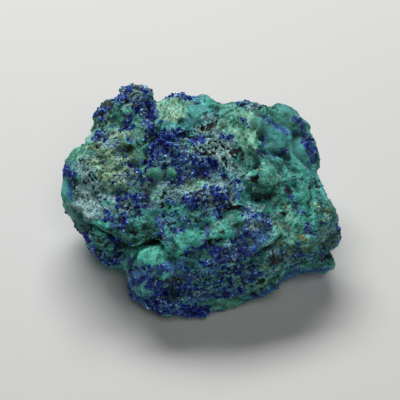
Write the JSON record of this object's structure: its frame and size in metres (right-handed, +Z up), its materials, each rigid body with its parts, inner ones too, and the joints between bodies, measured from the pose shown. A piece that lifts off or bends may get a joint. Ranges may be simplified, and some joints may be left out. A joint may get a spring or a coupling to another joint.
{
  "type": "azurite specimen",
  "caption": "Rough loose mineral lump with rounded nodules, broken ledges and clefts, cut flat underneath so that it rests on a shelf.",
  "frame": {"origin": "on the flat resting face, under the middle of the lump", "axes": "+Z up from the resting face, +X along the lump's longest side, -Y towards the steep broken face"},
  "size_m": [0.0686, 0.0514, 0.036],
  "materials": {
    "azurite_malachite": "rough, unpolished rock: azurite, malachite and chrysocolla, with small bright crystal faces"
  },
  "bodies": {
    "root": {"azurite_specimen": "azurite_malachite"}
  },
  "joints": []
}
